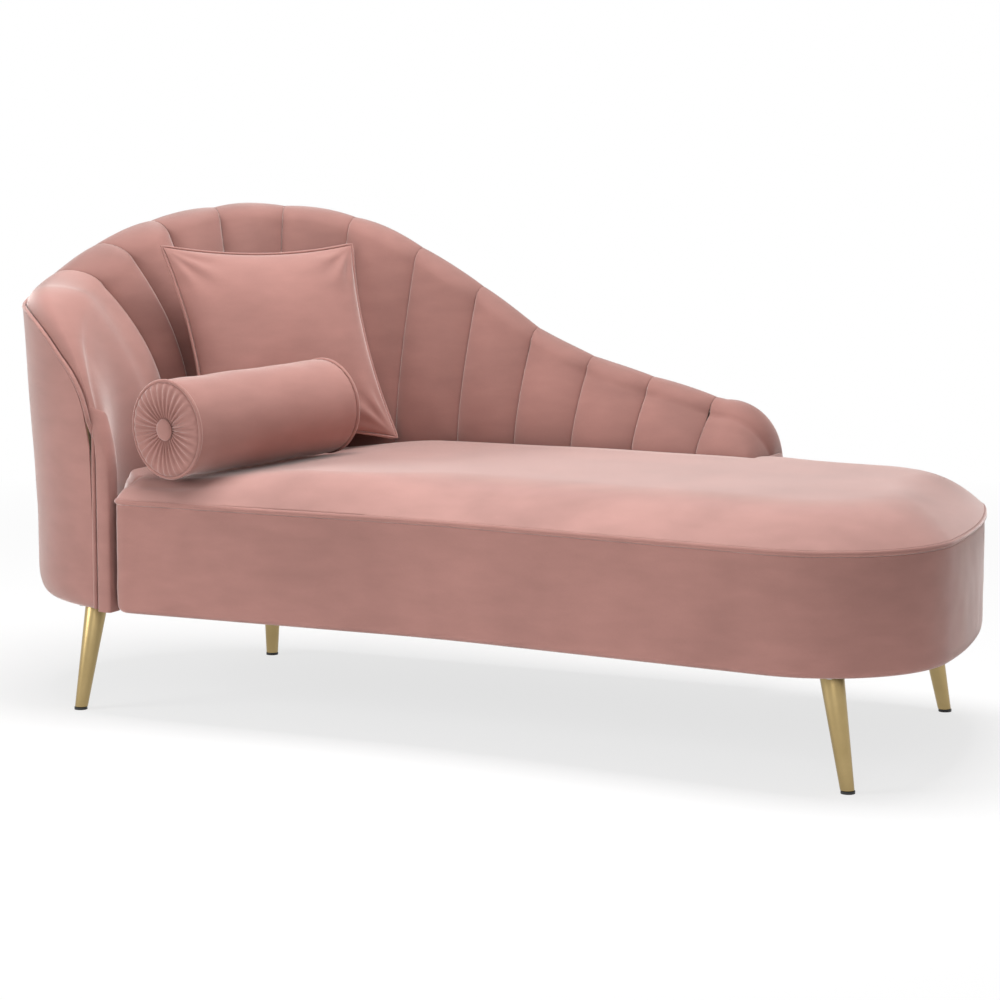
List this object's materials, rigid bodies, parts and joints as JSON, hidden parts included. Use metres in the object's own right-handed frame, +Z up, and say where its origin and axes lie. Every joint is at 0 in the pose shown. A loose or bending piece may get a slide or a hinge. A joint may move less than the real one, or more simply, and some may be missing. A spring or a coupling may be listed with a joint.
{
  "type": "chaise longue",
  "caption": "Velvet chaise longue with a channelled wrap-around back, crowned seat with flared foot, splayed brass legs, square pillow and bolster.",
  "frame": {"origin": "on the floor, middle of the plan's bounding box", "axes": "+Z up, +X along the length towards the foot end, +Y towards the rear where the back runs"},
  "size_m": [1.6496, 0.7684, 0.7941],
  "materials": {
    "velvet": "dusty pink velvet, deep pile",
    "brass": "satin brass",
    "steel": "zinc plated",
    "plastic": "moulded, matte",
    "timber": "raw birch and plywood",
    "board": "hardboard",
    "filling": "open foam and fibre",
    "lining": "black non-woven cloth"
  },
  "bodies": {
    "frame": {"back_bottom_rail": "timber", "back_channel_01": "velvet", "back_channel_02": "velvet", "back_channel_03": "velvet", "back_channel_04": "velvet", "back_channel_05": "velvet", "back_channel_06": "velvet", "back_channel_07": "velvet", "back_channel_08": "velvet", "back_channel_09": "velvet", "back_channel_10": "velvet", "back_channel_11": "velvet", "back_channel_12": "velvet", "back_channel_13": "velvet", "back_end_cover": "velvet", "back_liner": "board", "back_panel": "board", "back_rib_1": "timber", "back_rib_2": "timber", "back_rib_3": "timber", "back_rib_4": "timber", "back_top_rail": "timber", "back_welt": "velvet", "dust_cover": "lining", "frame_spacers": "timber", "glides": "plastic", "leg_block_front_left": "timber", "leg_block_front_right": "timber", "leg_block_rear_left": "timber", "leg_block_rear_right": "timber", "leg_front_left": "brass", "leg_front_right": "brass", "leg_plates": "steel", "leg_rear_left": "brass", "leg_rear_right": "brass", "leg_screws": "steel", "leg_studs": "steel", "outside_back_cover": "velvet", "seat_boxing": "velvet", "seat_cross_rail_foot": "timber", "seat_cross_rail_head": "timber", "seat_foam": "filling", "seat_rail_foot": "timber", "seat_rail_front": "timber", "seat_rail_head": "timber", "seat_rail_notch": "timber", "seat_rail_rear": "timber", "seat_springs": "steel", "seat_top_cover": "velvet", "seat_welt": "velvet", "spring_pad": "lining"},
    "pillow": {"pillow_cover": "velvet", "pillow_insert": "filling", "pillow_welt": "velvet"},
    "bolster": {"bolster_buttons": "velvet", "bolster_core": "filling", "bolster_cover": "velvet", "bolster_end_far": "velvet", "bolster_end_near": "velvet", "bolster_welts": "velvet"}
  },
  "joints": [
    {"name": "pillow_lift", "type": "slide", "parent": "frame", "child": "pillow", "axis": [0, 0, 1], "range_m": [0, 0.45]},
    {"name": "bolster_lift", "type": "slide", "parent": "frame", "child": "bolster", "axis": [0, 0, 1], "range_m": [0, 0.4]}
  ]
}
